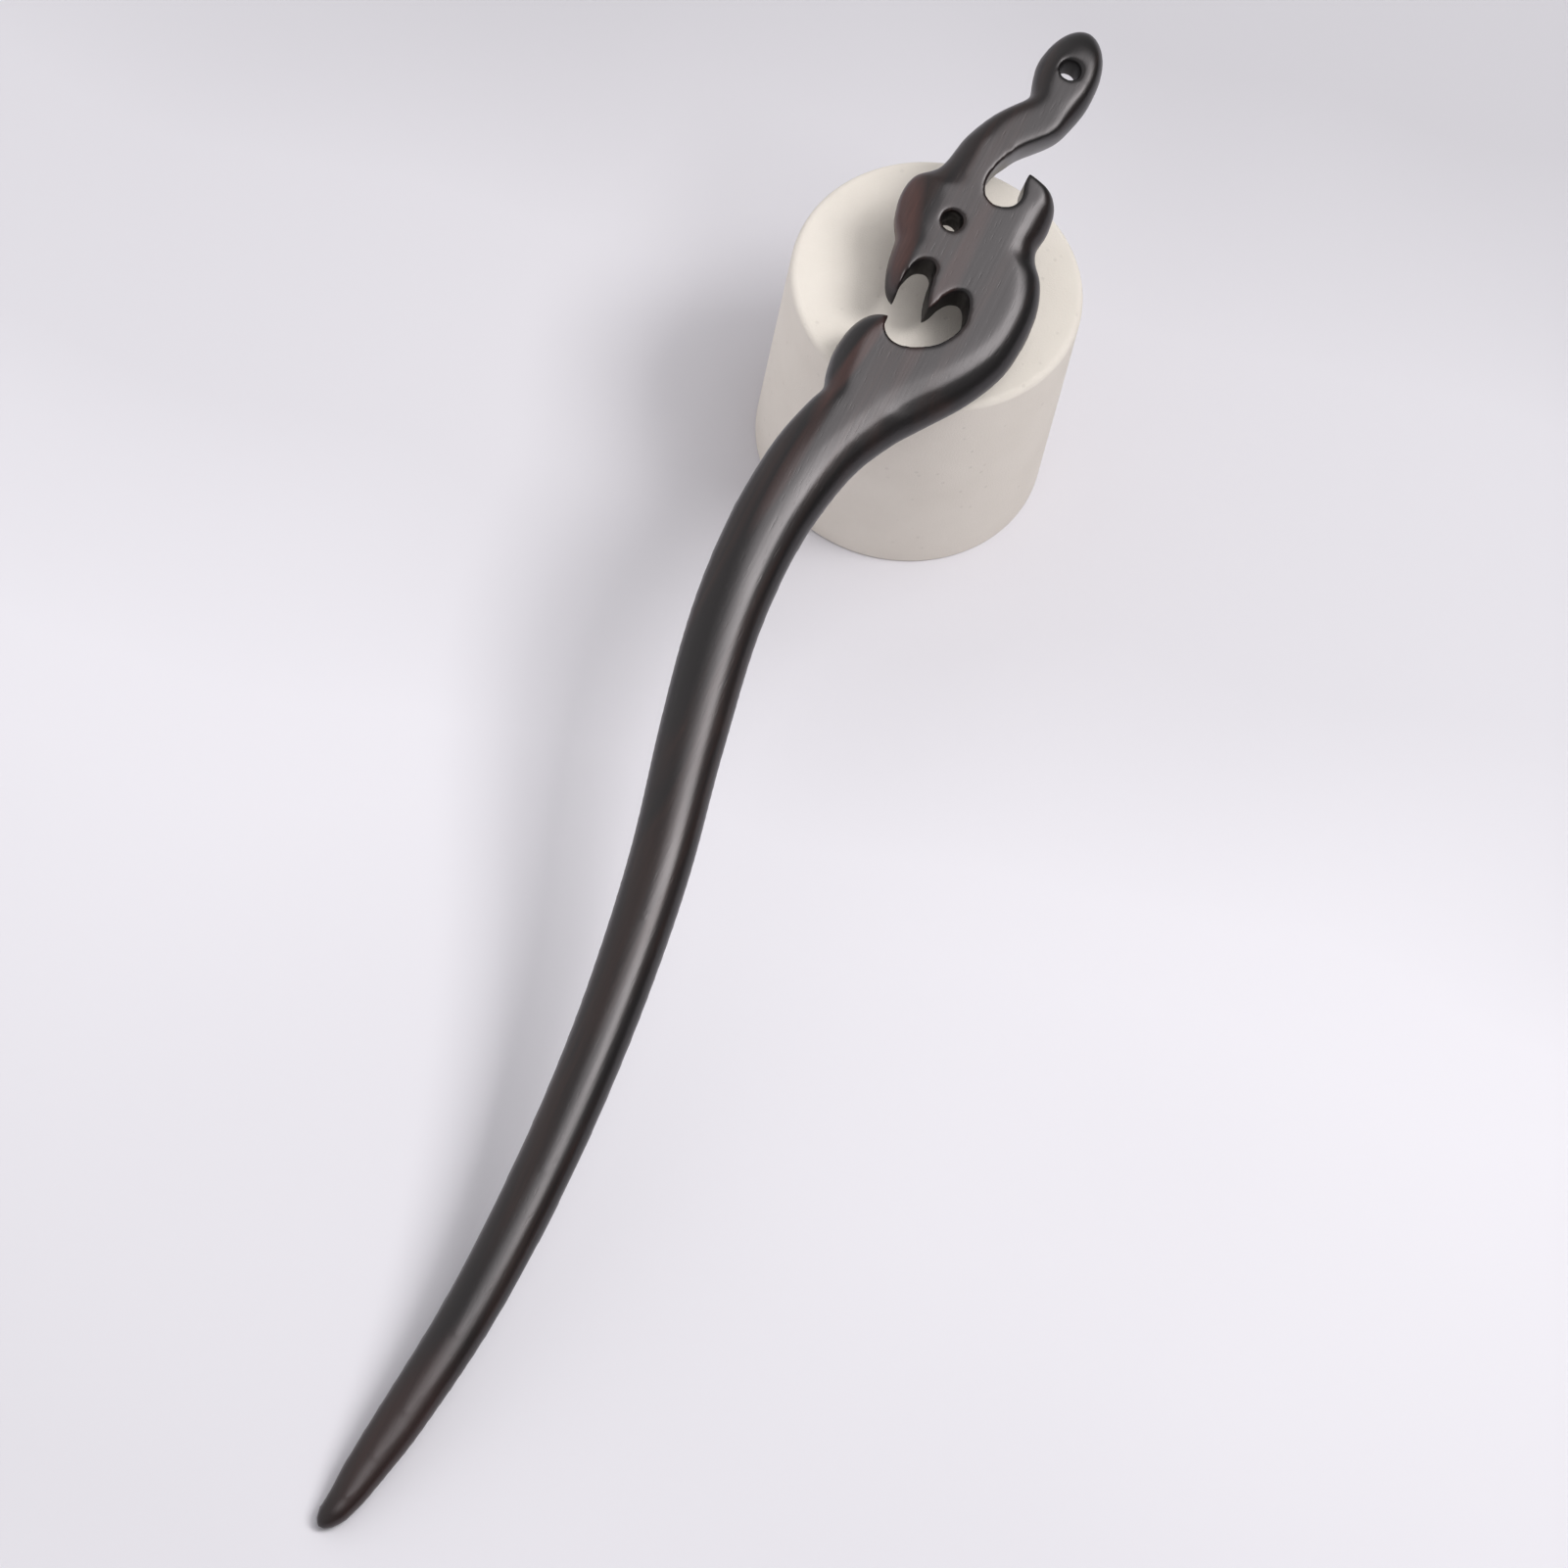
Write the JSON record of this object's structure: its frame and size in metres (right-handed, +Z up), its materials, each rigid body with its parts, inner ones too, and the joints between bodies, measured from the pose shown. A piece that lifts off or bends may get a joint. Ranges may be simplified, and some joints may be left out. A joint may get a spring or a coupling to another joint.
{
  "type": "hair stick on a round display block",
  "caption": "Long swaying hair stick with a flat pierced head and a short tail, lying with its head on a plain round block.",
  "frame": {"origin": "centre of the block's foot, on the table", "axes": "+Z up, +Y from the stick's tip towards its head, +X to the right of the stick as it is looked at from its tip"},
  "size_m": [0.0314, 0.1746, 0.047],
  "materials": {
    "ebony": "satin",
    "plaster": "matte"
  },
  "bodies": {
    "root": {"hair_stick": "ebony", "display_block": "plaster"}
  },
  "joints": []
}
